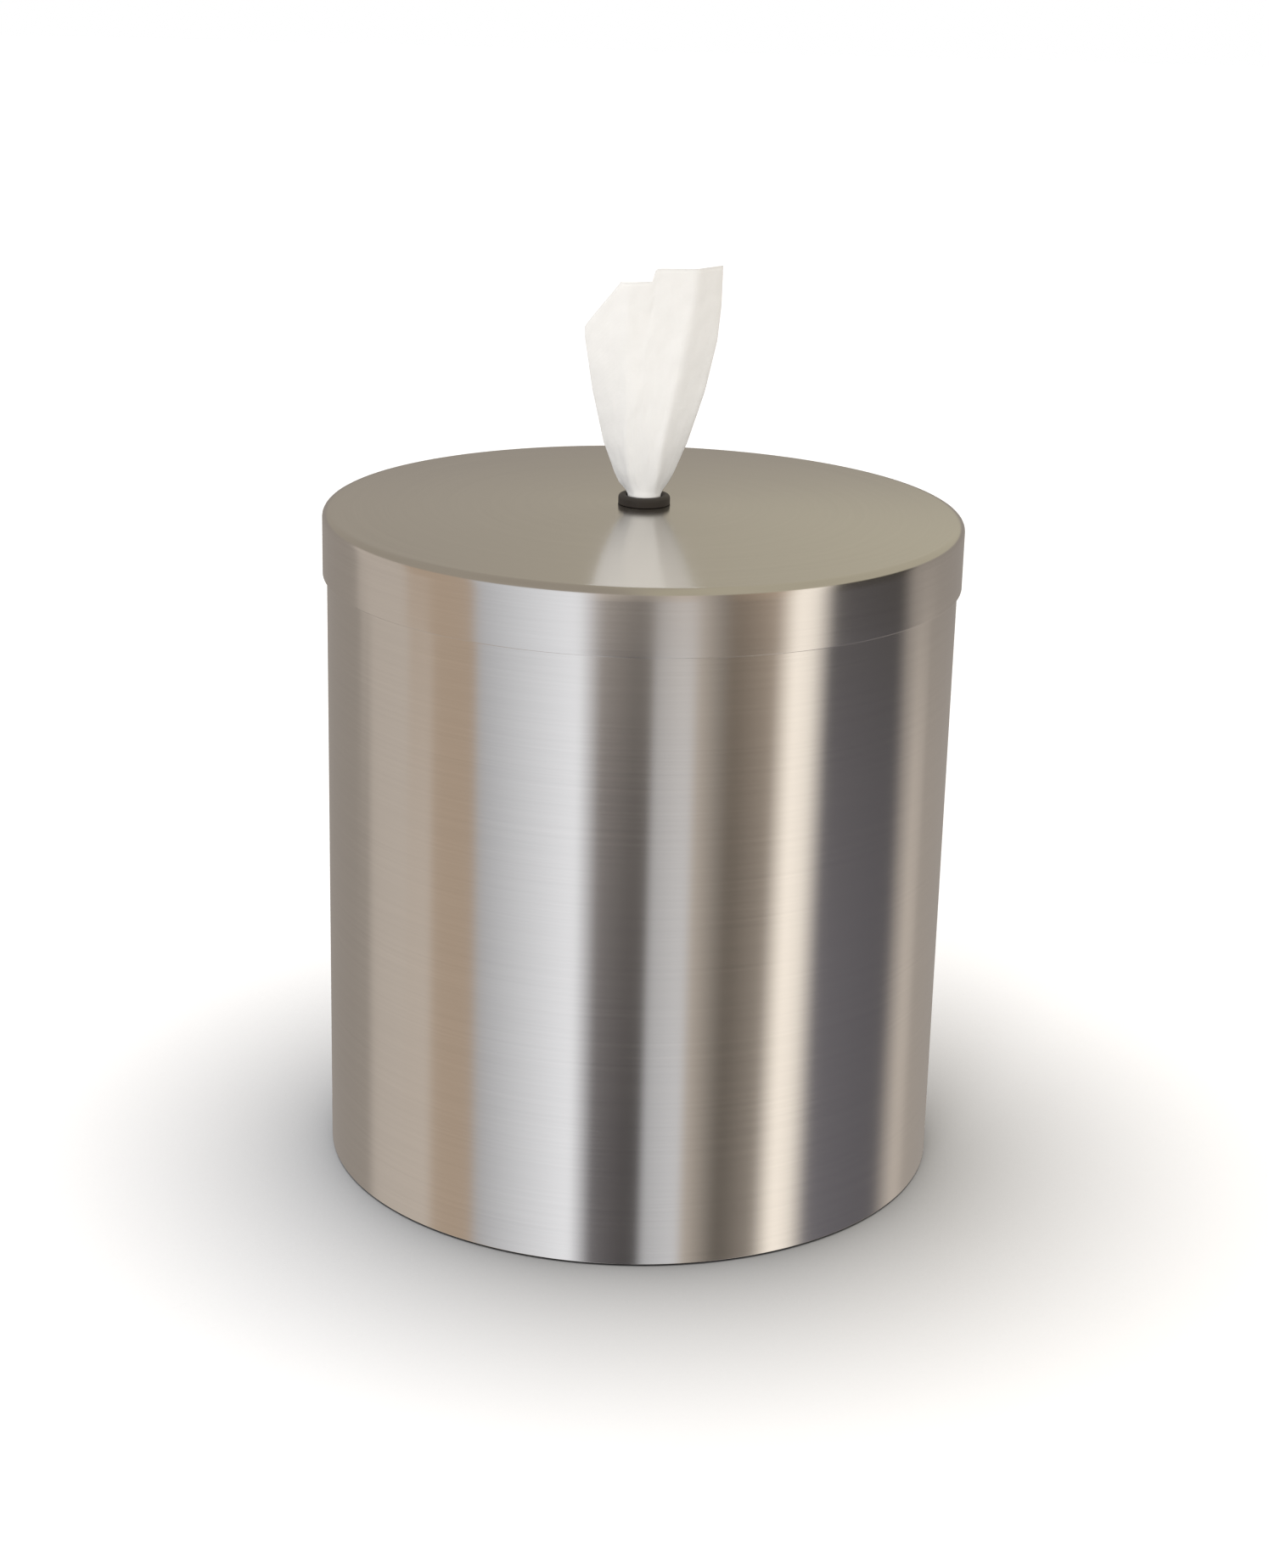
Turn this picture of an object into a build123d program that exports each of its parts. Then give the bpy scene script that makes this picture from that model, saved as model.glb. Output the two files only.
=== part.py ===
from build123d import *
from math import cos, radians
import os

# Centre-pull napkin canister. Millimetres, +Z up, origin under the middle of the drum
# at the surface that its feet stand on.

# ---- driving dimensions ----
LID_DIAMETER = 240.0
OVERALL_HEIGHT = 254.0          # up to the flat edge of the lid, without the napkin
LID_BAND_DEPTH = 24.0
LID_SHEET = 0.9
LID_CORNER_RADIUS = 2.6
LID_CROWN = 2.5                 # rise of the lid's middle over its edge
LID_SLIP_CLEARANCE = 0.7        # radial, band over drum

DRUM_SHEET = 1.0
HEM_DEPTH = 9.0
HEM_SLIT = 0.15
HEM_FOLD_RADIUS = 0.9
SEAM_BEAD_WIDTH = 2.6
SEAM_BEAD_HEIGHT = 0.4

BASE_SHEET = 1.2
BASE_RECESS = 6.0               # from the wall's lower edge up to the base
BASE_FLANGE_DEPTH = 5.0
BASE_BEND_RADIUS = 2.4
WELD_GAP = 0.05

FOOT_STANDOFF = 0.8             # how far the feet reach below the wall
FOOT_DIAMETER = 22.0
FOOT_TAPER = 1.5
FOOT_CIRCLE_DIAMETER = 176.0
FOOT_RECESS_DIAMETER = 11.0
FOOT_RECESS_DEPTH = 4.0
FOOT_TREAD_ROUNDING = 1.0
FOOT_EDGE_ROUNDING = 0.4

SCREW_DIAMETER = 4.0
SCREW_CLEARANCE = 0.25
THREAD_GAP = 0.02
SCREW_HEAD_DIAMETER = 8.0
SCREW_HEAD_HEIGHT = 2.4
SCREW_HEAD_ROUNDING = 1.1
SCREW_DRIVE_WIDTH = 2.3
SCREW_DRIVE_DEPTH = 1.2
SCREW_STICK_OUT = 1.0
SCREW_TIP_CHAMFER = 0.5
CUP_WASHER_DIAMETER = 9.6
CUP_WASHER_THICKNESS = 0.8
LOCK_WASHER_DIAMETER = 8.2
LOCK_WASHER_THICKNESS = 0.9
LOCK_WASHER_SPLIT_WIDTH = 0.5
LOCK_WASHER_SPLIT_ANGLE = 30.0
WASHER_ROUNDING = 0.12
NUT_ACROSS_FLATS = 7.0
NUT_HEIGHT = 3.2
NUT_CHAMFER_HEIGHT = 0.4

SEAL_THICKNESS = 2.5
SEAL_WIDTH = 6.0
SEAL_EDGE_GAP = 0.4
SEAL_ROUNDING = 0.5
REST_GAP = 0.3                  # soft pieces to what they rest on in another body

GROMMET_DIAMETER = 19.4
GROMMET_BORE = 13.2
GROMMET_GROOVE_DIAMETER = 15.6
GROMMET_RISE = 3.6
GROMMET_DROP = 2.6
GROMMET_ROUNDING = 1.35
GROMMET_GROOVE_ROUNDING = 0.15
GROMMET_FIT = 0.05

TRAY_LEG_HEIGHT = 8.0
TRAY_FLOOR = 2.0
TRAY_WALL = 2.0
TRAY_RIM_HEIGHT = 12.0
TRAY_CLEARANCE = 4.0            # radial, tray inside drum
TRAY_SLOT_COUNT = 6
TRAY_SLOT_WIDTH = 12.0
TRAY_SLOT_LENGTH = 26.0
TRAY_SLOT_CIRCLE_RADIUS = 60.0
TRAY_HUB_RADIUS = 30.0
TRAY_LIFT_HOLE_DIAMETER = 36.0
TRAY_CORNER_ROUNDING = 1.0
TRAY_EDGE_ROUNDING = 0.8
TRAY_INNER_ROUNDING = 0.4

NAPKIN_WIDTH = 203.0            # width of the web, so the height of the roll
NAPKIN_LENGTH = 178.0           # from one perforation to the next
NAPKIN_SHOWING = 89.0           # length that stands out over the lid's middle
FAN_WIDTH = 49.0                # widest spread of the folds above the grommet
FAN_DEPTH = 20.0                # thickness of the folds, front to back
FAN_LEAN = 5.0                  # sideways shift of the folds' top
ROLL_CLEARANCE = 1.0            # radial, roll and band inside the tray's rim
ROLL_BORE = 58.0
ROLL_SEAT_GAP = 0.2
ROLL_EDGE_ROUNDING = 1.5
BAND_THICKNESS = 0.4
BAND_HEIGHT = 60.0
BAND_FIT = 0.1
LOOSE_TURN_THICKNESS = 4.0
LOOSE_TURN_GAP = 0.6
LOOSE_TURN_HEIGHT = 150.0
LOOSE_TURN_OPENING = 1.5        # width of the slit where the web leaves the turns
LOOSE_TURN_ROUNDING = 0.8
STRAND_CLEARANCE = 0.5          # radial, strand inside the grommet
STRAND_FOOT_GAP = 6.0           # from the strand's lower end to the tray floor

EDGE_BREAK = 0.25               # rounding of cut sheet edges
CUT_OVERRUN = 1.0               # how far a cutting solid runs past the faces it cuts

# ---- sizes that follow ----
LID_RADIUS = LID_DIAMETER / 2
LID_INNER_RADIUS = LID_RADIUS - LID_SHEET
DRUM_RADIUS = LID_INNER_RADIUS - LID_SLIP_CLEARANCE
DRUM_INNER_RADIUS = DRUM_RADIUS - DRUM_SHEET
WALL_BOTTOM = FOOT_STANDOFF
BASE_UNDERSIDE = WALL_BOTTOM + BASE_RECESS
BASE_TOP = BASE_UNDERSIDE + BASE_SHEET
LID_UNDERSIDE = OVERALL_HEIGHT - LID_SHEET
SEAL_TOP = LID_UNDERSIDE - GROMMET_FIT
SEAL_UNDERSIDE = SEAL_TOP - SEAL_THICKNESS
RIM_HEIGHT = SEAL_UNDERSIDE - REST_GAP
LID_MIDDLE = OVERALL_HEIGHT + LID_CROWN
SCREW_HOLE_RADIUS = SCREW_DIAMETER / 2 + SCREW_CLEARANCE
SCREW_HEAD_TOP = FOOT_RECESS_DEPTH - CUP_WASHER_THICKNESS
NUT_UNDERSIDE = BASE_TOP + LOCK_WASHER_THICKNESS
TRAY_FLOOR_UNDERSIDE = BASE_TOP + TRAY_LEG_HEIGHT
TRAY_FLOOR_TOP = TRAY_FLOOR_UNDERSIDE + TRAY_FLOOR
TRAY_RADIUS = DRUM_INNER_RADIUS - TRAY_CLEARANCE
TRAY_RIM_INNER_RADIUS = TRAY_RADIUS - TRAY_WALL
ROLL_RADIUS = TRAY_RIM_INNER_RADIUS - ROLL_CLEARANCE - BAND_THICKNESS - BAND_FIT
ROLL_BOTTOM = TRAY_FLOOR_TOP + ROLL_SEAT_GAP
ROLL_TOP = ROLL_BOTTOM + NAPKIN_WIDTH
GROMMET_TOP = LID_MIDDLE + GROMMET_RISE
STRAND_RADIUS = GROMMET_BORE / 2 - STRAND_CLEARANCE
STRAND_BOTTOM = TRAY_FLOOR_TOP + STRAND_FOOT_GAP
NAPKIN_TOP = LID_MIDDLE + NAPKIN_SHOWING
PERFORATION_HEIGHT = NAPKIN_TOP - NAPKIN_LENGTH


def turned(*corners):
    """A solid turned about the Z axis from (radius, height, rounding) corners."""
    points = [(radius, height) for radius, height, rounding in corners]
    roundings = [rounding for radius, height, rounding in corners]
    outline = FilletPolyline(*points, radius=roundings, close=True)
    return revolve(Plane.XZ * make_face(outline), Axis.Z)


def ring(outer_radius, inner_radius, bottom, top, rounding=0):
    """A plain ring, its four corners rounded alike."""
    return turned(
        (inner_radius, bottom, rounding),
        (outer_radius, bottom, rounding),
        (outer_radius, top, rounding),
        (inner_radius, top, rounding),
    )


def upright(radius, bottom, top):
    """A plain cylinder about the Z axis between two heights."""
    return Pos(0, 0, bottom) * Cylinder(radius, top - bottom, align=(Align.CENTER, Align.CENTER, Align.MIN))


def foot_places():
    """The four foot centres, at 45 degrees to the front."""
    return PolarLocations(FOOT_CIRCLE_DIAMETER / 2, 4, start_angle=45)


def drum_wall():
    """Rolled sheet, hemmed inwards at the rim, with a butt weld's bead inside at the back."""
    leaf_outer = DRUM_INNER_RADIUS - HEM_SLIT
    leaf_inner = leaf_outer - DRUM_SHEET
    fold_height = RIM_HEIGHT - DRUM_SHEET
    wall = turned(
        (DRUM_RADIUS, WALL_BOTTOM, EDGE_BREAK),
        (DRUM_RADIUS, RIM_HEIGHT, HEM_FOLD_RADIUS),
        (leaf_inner, RIM_HEIGHT, HEM_FOLD_RADIUS),
        (leaf_inner, RIM_HEIGHT - HEM_DEPTH, EDGE_BREAK),
        (leaf_outer, RIM_HEIGHT - HEM_DEPTH, EDGE_BREAK),
        (leaf_outer, fold_height, 0),
        (DRUM_INNER_RADIUS, fold_height, 0),
        (DRUM_INNER_RADIUS, WALL_BOTTOM, EDGE_BREAK),
    )
    bead_bottom = BASE_TOP + SEAM_BEAD_WIDTH
    bead_top = RIM_HEIGHT - HEM_DEPTH - SEAM_BEAD_WIDTH
    bead = Pos(0, DRUM_INNER_RADIUS, (bead_bottom + bead_top) / 2) * Box(
        SEAM_BEAD_WIDTH, 2 * SEAM_BEAD_HEIGHT, bead_top - bead_bottom
    )
    return wall + bead


def base_pan():
    """Pressed disc with a turned-down flange, drilled for the feet."""
    outer = DRUM_INNER_RADIUS - WELD_GAP
    inner = outer - BASE_SHEET
    flange_bottom = BASE_TOP - BASE_FLANGE_DEPTH
    pan = turned(
        (0, BASE_UNDERSIDE, 0),
        (inner, BASE_UNDERSIDE, BASE_BEND_RADIUS - BASE_SHEET),
        (inner, flange_bottom, EDGE_BREAK),
        (outer, flange_bottom, EDGE_BREAK),
        (outer, BASE_TOP, BASE_BEND_RADIUS),
        (0, BASE_TOP, 0),
    )
    hole = upright(SCREW_HOLE_RADIUS, BASE_UNDERSIDE - CUT_OVERRUN, BASE_TOP + CUT_OVERRUN)
    return pan - [place * hole for place in foot_places()]


def foot():
    """Tapered rubber foot, counterbored from below for its screw's head."""
    top_radius = FOOT_DIAMETER / 2
    return turned(
        (FOOT_RECESS_DIAMETER / 2, 0, FOOT_EDGE_ROUNDING),
        (top_radius - FOOT_TAPER, 0, FOOT_TREAD_ROUNDING),
        (top_radius, BASE_UNDERSIDE, FOOT_EDGE_ROUNDING),
        (SCREW_HOLE_RADIUS, BASE_UNDERSIDE, 0),
        (SCREW_HOLE_RADIUS, FOOT_RECESS_DEPTH, 0),
        (FOOT_RECESS_DIAMETER / 2, FOOT_RECESS_DEPTH, 0),
    )


def foot_screw():
    """Pan-head machine screw with a square drive, head down."""
    shank_radius = SCREW_DIAMETER / 2 - THREAD_GAP
    head_bottom = SCREW_HEAD_TOP - SCREW_HEAD_HEIGHT
    tip = NUT_UNDERSIDE + NUT_HEIGHT + SCREW_STICK_OUT
    body = turned(
        (0, head_bottom, 0),
        (SCREW_HEAD_DIAMETER / 2, head_bottom, SCREW_HEAD_ROUNDING),
        (SCREW_HEAD_DIAMETER / 2, SCREW_HEAD_TOP, 0),
        (shank_radius, SCREW_HEAD_TOP, 0),
        (shank_radius, tip - SCREW_TIP_CHAMFER, 0),
        (shank_radius - SCREW_TIP_CHAMFER, tip, 0),
        (0, tip, 0),
    )
    drive = Pos(0, 0, head_bottom) * Box(SCREW_DRIVE_WIDTH, SCREW_DRIVE_WIDTH, 2 * SCREW_DRIVE_DEPTH)
    return body - drive


def foot_cup_washer():
    """Dished washer under a screw's head, seated in the foot's recess."""
    outer = CUP_WASHER_DIAMETER / 2
    return ring(outer, SCREW_HOLE_RADIUS, SCREW_HEAD_TOP, FOOT_RECESS_DEPTH, WASHER_ROUNDING)


def foot_lock_washer():
    """Split lock washer between the base and a nut."""
    washer = ring(LOCK_WASHER_DIAMETER / 2, SCREW_HOLE_RADIUS, BASE_TOP, NUT_UNDERSIDE)
    blade = Box(LOCK_WASHER_SPLIT_WIDTH, LOCK_WASHER_DIAMETER, 4 * LOCK_WASHER_THICKNESS)
    middle = (BASE_TOP + NUT_UNDERSIDE) / 2
    return washer - Pos(0, LOCK_WASHER_DIAMETER / 2, middle) * Rot(0, LOCK_WASHER_SPLIT_ANGLE, 0) * blade


def foot_nut():
    """Hexagon nut, chamfered top and bottom."""
    flat_radius = NUT_ACROSS_FLATS / 2
    corner_radius = flat_radius / cos(radians(30))
    nut_top = NUT_UNDERSIDE + NUT_HEIGHT
    prism = Pos(0, 0, NUT_UNDERSIDE) * extrude(RegularPolygon(corner_radius, 6), NUT_HEIGHT)
    envelope = turned(
        (0, NUT_UNDERSIDE, 0),
        (flat_radius, NUT_UNDERSIDE, 0),
        (corner_radius, NUT_UNDERSIDE + NUT_CHAMFER_HEIGHT, 0),
        (corner_radius, nut_top - NUT_CHAMFER_HEIGHT, 0),
        (flat_radius, nut_top, 0),
        (0, nut_top, 0),
    )
    hole = upright(SCREW_DIAMETER / 2, NUT_UNDERSIDE - CUT_OVERRUN, nut_top + CUT_OVERRUN)
    return (prism & envelope) - hole


def roll_tray():
    """Moulded tray on two ring legs; its rim holds the roll under the grommet."""
    rim_top = TRAY_FLOOR_TOP + TRAY_RIM_HEIGHT
    leg_outer = TRAY_RADIUS - TRAY_WALL
    dish = turned(
        (TRAY_LIFT_HOLE_DIAMETER / 2, TRAY_FLOOR_UNDERSIDE, TRAY_INNER_ROUNDING),
        (TRAY_HUB_RADIUS, TRAY_FLOOR_UNDERSIDE, TRAY_INNER_ROUNDING),
        (TRAY_HUB_RADIUS, BASE_TOP, TRAY_INNER_ROUNDING),
        (TRAY_HUB_RADIUS + TRAY_WALL, BASE_TOP, TRAY_INNER_ROUNDING),
        (TRAY_HUB_RADIUS + TRAY_WALL, TRAY_FLOOR_UNDERSIDE, TRAY_INNER_ROUNDING),
        (leg_outer - TRAY_WALL, TRAY_FLOOR_UNDERSIDE, TRAY_INNER_ROUNDING),
        (leg_outer - TRAY_WALL, BASE_TOP, TRAY_INNER_ROUNDING),
        (leg_outer, BASE_TOP, TRAY_INNER_ROUNDING),
        (leg_outer, TRAY_FLOOR_UNDERSIDE, TRAY_INNER_ROUNDING),
        (TRAY_RADIUS, TRAY_FLOOR_UNDERSIDE, TRAY_CORNER_ROUNDING),
        (TRAY_RADIUS, rim_top, TRAY_EDGE_ROUNDING),
        (TRAY_RIM_INNER_RADIUS, rim_top, TRAY_EDGE_ROUNDING),
        (TRAY_RIM_INNER_RADIUS, TRAY_FLOOR_TOP, TRAY_INNER_ROUNDING),
        (TRAY_LIFT_HOLE_DIAMETER / 2, TRAY_FLOOR_TOP, TRAY_INNER_ROUNDING),
    )
    slot = Pos(0, 0, TRAY_FLOOR_UNDERSIDE - CUT_OVERRUN) * extrude(
        SlotOverall(TRAY_SLOT_LENGTH, TRAY_SLOT_WIDTH), TRAY_FLOOR + 2 * CUT_OVERRUN
    )
    return dish - [place * slot for place in PolarLocations(TRAY_SLOT_CIRCLE_RADIUS, TRAY_SLOT_COUNT)]


def napkin_roll():
    """Coreless roll standing on end."""
    return ring(ROLL_RADIUS, ROLL_BORE / 2, ROLL_BOTTOM, ROLL_TOP, ROLL_EDGE_ROUNDING)


def roll_band():
    """Paper band round the roll's outside at mid height."""
    inner = ROLL_RADIUS + BAND_FIT
    middle = (ROLL_BOTTOM + ROLL_TOP) / 2
    return ring(inner + BAND_THICKNESS, inner, middle - BAND_HEIGHT / 2, middle + BAND_HEIGHT / 2)


def loose_turns():
    """The innermost turns, come away from the roll, open where the web leaves them."""
    outer = ROLL_BORE / 2 - LOOSE_TURN_GAP
    inner = outer - LOOSE_TURN_THICKNESS
    turns = ring(outer, inner, ROLL_BOTTOM, ROLL_BOTTOM + LOOSE_TURN_HEIGHT, LOOSE_TURN_ROUNDING)
    opening = Pos(outer, 0, ROLL_BOTTOM + LOOSE_TURN_HEIGHT / 2) * Box(
        2 * outer, LOOSE_TURN_OPENING, LOOSE_TURN_HEIGHT + 2 * CUT_OVERRUN
    )
    return turns - opening


def lid_cap():
    """Drawn lid: crowned top, rounded corner, turned-down band, centre hole for the grommet."""
    band_bottom = OVERALL_HEIGHT - LID_BAND_DEPTH
    hole_radius = GROMMET_GROOVE_DIAMETER / 2 + GROMMET_FIT
    outer_top = SagittaArc((-LID_RADIUS, OVERALL_HEIGHT), (LID_RADIUS, OVERALL_HEIGHT), LID_CROWN)
    inner_top = SagittaArc((-LID_RADIUS, LID_UNDERSIDE), (LID_RADIUS, LID_UNDERSIDE), LID_CROWN)
    section_top = make_face(
        outer_top.edges() + inner_top.edges()
        + Line((-LID_RADIUS, LID_UNDERSIDE), (-LID_RADIUS, OVERALL_HEIGHT)).edges()
        + Line((LID_RADIUS, LID_UNDERSIDE), (LID_RADIUS, OVERALL_HEIGHT)).edges()
    )
    right_half = Pos((hole_radius + LID_RADIUS) / 2, OVERALL_HEIGHT) * Rectangle(
        LID_RADIUS - hole_radius, 4 * (LID_CROWN + LID_SHEET)
    )
    band = Pos(LID_RADIUS - LID_SHEET / 2, (band_bottom + OVERALL_HEIGHT) / 2) * Rectangle(
        LID_SHEET, LID_BAND_DEPTH
    )
    section = (section_top & right_half) + band
    outer_corner = nearest_corner(section, LID_RADIUS, OVERALL_HEIGHT)
    section = fillet(outer_corner, LID_CORNER_RADIUS)
    inner_corner = nearest_corner(section, LID_INNER_RADIUS, LID_UNDERSIDE)
    section = fillet(inner_corner, LID_CORNER_RADIUS - LID_SHEET)
    lower_edge = section.vertices().group_by(Axis.Y)[0]
    section = fillet(lower_edge, EDGE_BREAK)
    return revolve(Plane.XZ * section, Axis.Z)


def nearest_corner(section, x, y):
    """The corner of a flat section that lies nearest to a point."""
    return min(section.vertices(), key=lambda corner: (corner.X - x) ** 2 + (corner.Y - y) ** 2)


def lid_seal():
    """Foam ring under the lid's edge that rests on the drum's rim."""
    outer = LID_INNER_RADIUS - (LID_CORNER_RADIUS - LID_SHEET) - SEAL_EDGE_GAP
    return ring(outer, outer - SEAL_WIDTH, SEAL_UNDERSIDE, SEAL_TOP, SEAL_ROUNDING)


def grommet():
    """Round rubber grommet, grooved for the lid's hole."""
    groove_top = LID_MIDDLE + GROMMET_FIT
    groove_bottom = LID_MIDDLE - LID_SHEET - GROMMET_FIT
    return turned(
        (GROMMET_BORE / 2, LID_MIDDLE - LID_SHEET - GROMMET_DROP, GROMMET_ROUNDING),
        (GROMMET_DIAMETER / 2, LID_MIDDLE - LID_SHEET - GROMMET_DROP, GROMMET_ROUNDING),
        (GROMMET_DIAMETER / 2, groove_bottom, GROMMET_GROOVE_ROUNDING),
        (GROMMET_GROOVE_DIAMETER / 2, groove_bottom, 0),
        (GROMMET_GROOVE_DIAMETER / 2, groove_top, 0),
        (GROMMET_DIAMETER / 2, groove_top, GROMMET_GROOVE_ROUNDING),
        (GROMMET_DIAMETER / 2, GROMMET_TOP, GROMMET_ROUNDING),
        (GROMMET_BORE / 2, GROMMET_TOP, GROMMET_ROUNDING),
    )


def lead_napkin():
    """The sheet in use: a tail through the grommet's bore and a fan of folds over it."""
    tail = upright(STRAND_RADIUS, PERFORATION_HEIGHT, GROMMET_TOP)
    fan_height = NAPKIN_TOP - GROMMET_TOP
    fan_levels = [
        # shares of the fan's height, lean, spread and thickness
        (0.00, 0.00, 0.00, 0.00),
        (0.15, 0.00, 0.20, 0.20),
        (0.30, 0.05, 0.48, 0.50),
        (0.52, 0.15, 0.82, 0.85),
        (0.75, 0.35, 1.00, 1.00),
        (1.00, 1.00, 0.86, 1.00),
    ]
    sections = [
        Pos(lean * FAN_LEAN, 0, GROMMET_TOP + height * fan_height)
        * Ellipse(
            STRAND_RADIUS + spread * (FAN_WIDTH / 2 - STRAND_RADIUS),
            STRAND_RADIUS + thickness * (FAN_DEPTH / 2 - STRAND_RADIUS),
        )
        for height, lean, spread, thickness in fan_levels
    ]
    return tail + loft(sections)


def next_napkin():
    """The following sheet, twisted to a strand in the middle of the roll."""
    return upright(STRAND_RADIUS, STRAND_BOTTOM, PERFORATION_HEIGHT)


def save(name, shape):
    """Writes one sub-part to its STEP file."""
    export_step(shape, f"parts/{name}.step")


def in_foot_places(piece):
    """Four copies of a piece, kept as separate solids."""
    return Compound(children=[place * piece for place in foot_places()])


os.makedirs("parts", exist_ok=True)

save("drum_wall", drum_wall())
save("base_pan", base_pan())
FOOT_NAMES = ["foot_rear_right", "foot_rear_left", "foot_front_left", "foot_front_right"]
for foot_name, foot_place in zip(FOOT_NAMES, foot_places()):
    save(foot_name, foot_place * foot())
save("foot_screws", in_foot_places(foot_screw()))
save("foot_cup_washers", in_foot_places(foot_cup_washer()))
save("foot_lock_washers", in_foot_places(foot_lock_washer()))
save("foot_nuts", in_foot_places(foot_nut()))
save("roll_tray", roll_tray())
save("napkin_roll", napkin_roll())
save("roll_band", roll_band())
save("loose_turns", loose_turns())
save("lid_cap", lid_cap())
save("lid_seal", lid_seal())
save("grommet", grommet())
save("lead_napkin", lead_napkin())
save("next_napkin", next_napkin())
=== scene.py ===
from math import atan2, cos, pi, radians, sin, tau
import bmesh
import bpy
from mathutils import Matrix, Quaternion, Vector, noise


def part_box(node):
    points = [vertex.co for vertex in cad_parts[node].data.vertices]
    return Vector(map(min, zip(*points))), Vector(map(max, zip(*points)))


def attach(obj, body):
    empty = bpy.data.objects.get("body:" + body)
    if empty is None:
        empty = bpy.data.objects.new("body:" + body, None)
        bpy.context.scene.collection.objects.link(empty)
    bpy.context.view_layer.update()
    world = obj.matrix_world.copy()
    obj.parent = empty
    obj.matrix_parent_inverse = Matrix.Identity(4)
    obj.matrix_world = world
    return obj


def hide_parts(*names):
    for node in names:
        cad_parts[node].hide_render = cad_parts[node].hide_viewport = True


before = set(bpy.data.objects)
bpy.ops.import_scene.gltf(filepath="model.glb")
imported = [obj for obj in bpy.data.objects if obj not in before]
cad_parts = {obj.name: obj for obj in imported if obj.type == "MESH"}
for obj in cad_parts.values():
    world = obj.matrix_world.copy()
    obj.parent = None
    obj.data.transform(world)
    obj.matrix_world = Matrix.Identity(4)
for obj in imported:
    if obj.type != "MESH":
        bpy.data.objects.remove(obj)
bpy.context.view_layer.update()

bl_info = {
    "name": "Centre-pull napkin canister",
    "version": (1, 0, 0),
    "blender": (4, 5, 0),
    "location": "3D View > Sidebar > Napkin canister",
    "description": "Builds the looks of a brushed steel napkin canister around its CAD frame",
    "category": "Object",
}

MM = 0.001
CUT_EDGE = 0.25 * MM            # rounding of cut sheet edges
HEM_SLIT = 0.15 * MM            # between the wall and its folded leaf
HEM_FOLD = 0.9 * MM
BEAD_WIDTH = 2.6 * MM           # weld bead inside the wall, at the back
BEAD_DEPTH = 0.8 * MM
BEAD_BOTTOM = 10.6 * MM
BEAD_ROUNDING = 0.3 * MM
GROMMET_FIT = 0.05 * MM
GROMMET_ROLL = 1.35 * MM
GROMMET_STEPS = 128
ROLL_STEPS = 160
ROLL_ROUNDING = 1.5 * MM
TURN_CREEP = 0.45 * MM          # how far the roll's turns stand up or down at its top
TURNS = 3
TURNS_GAP = 3.4 * MM            # from the outermost to the innermost loose turn
BAND_SHEET = 0.2 * MM
BAND_LAP = radians(9)
LAP_STEP = radians(2)


def place_of(node):
    """Radius, lowest and highest level of a round CAD node about the Z axis, in metres."""
    low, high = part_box(node)
    return (high[0] - low[0]) / 2, low[2], high[2]


DRUM_RADIUS, DRUM_BOTTOM, DRUM_TOP = place_of("drum_wall")
LID_RADIUS, LID_BOTTOM, LID_MIDDLE = place_of("lid_cap")
GROMMET_RADIUS, GROMMET_BOTTOM, GROMMET_TOP = place_of("grommet")
ROLL_RADIUS, ROLL_BOTTOM, ROLL_TOP = place_of("napkin_roll")
TURNS_RADIUS, TURNS_BOTTOM, TURNS_TOP = place_of("loose_turns")
BAND_RADIUS, BAND_BOTTOM, BAND_TOP = place_of("roll_band")
STRAND_RADIUS, STRAND_BOTTOM, STRAND_TOP = place_of("next_napkin")
LEAD_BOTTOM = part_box("lead_napkin")[0][2]


def hex_colour(code, level=1.0):
    """Linear RGBA from an sRGB hex value, times a level of light."""
    channels = [int(code[start:start + 2], 16) / 255 for start in (1, 3, 5)]
    linear = [c / 12.92 if c <= 0.04045 else ((c + 0.055) / 1.055) ** 2.4 for c in channels]
    return (*[channel * level for channel in linear], 1.0)


# ---- settings a user would change ----
class CanisterSizes(bpy.types.PropertyGroup):
    wall_sheet: bpy.props.FloatProperty(
        name="Drum sheet", description="Thickness of the drum's steel", default=1.0 * MM, unit="LENGTH")
    lid_sheet: bpy.props.FloatProperty(
        name="Lid sheet", description="Thickness of the lid's steel", default=0.9 * MM, unit="LENGTH")
    hem_depth: bpy.props.FloatProperty(
        name="Hem depth", description="How far the rim is folded inwards", default=9.0 * MM, unit="LENGTH")
    lid_crown: bpy.props.FloatProperty(
        name="Lid crown", description="Rise of the lid's middle over its edge", default=2.5 * MM,
        unit="LENGTH")
    lid_corner: bpy.props.FloatProperty(
        name="Lid corner", description="Radius where the lid turns down", default=2.6 * MM, unit="LENGTH")
    grommet_bore: bpy.props.FloatProperty(
        name="Grommet bore", description="Diameter of the hole the napkin is pulled through",
        default=13.2 * MM, unit="LENGTH")
    grommet_groove: bpy.props.FloatProperty(
        name="Grommet groove", description="Diameter of the groove that takes the lid's edge",
        default=15.6 * MM, unit="LENGTH")
    roll_bore: bpy.props.FloatProperty(
        name="Roll bore", description="Diameter of the coreless roll's middle", default=58.0 * MM,
        unit="LENGTH")
    napkin_width: bpy.props.FloatProperty(
        name="Napkin width", description="Width of the web before it is gathered", default=203.0 * MM,
        unit="LENGTH")
    napkin_length: bpy.props.FloatProperty(
        name="Napkin length", description="From one perforation to the next", default=178.0 * MM,
        unit="LENGTH")
    paper_thickness: bpy.props.FloatProperty(
        name="Paper thickness", description="Thickness of the two-ply tissue", default=0.16 * MM,
        unit="LENGTH")
    around: bpy.props.IntProperty(
        name="Segments around", description="Segments of the round pieces", default=256, min=24)


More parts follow.
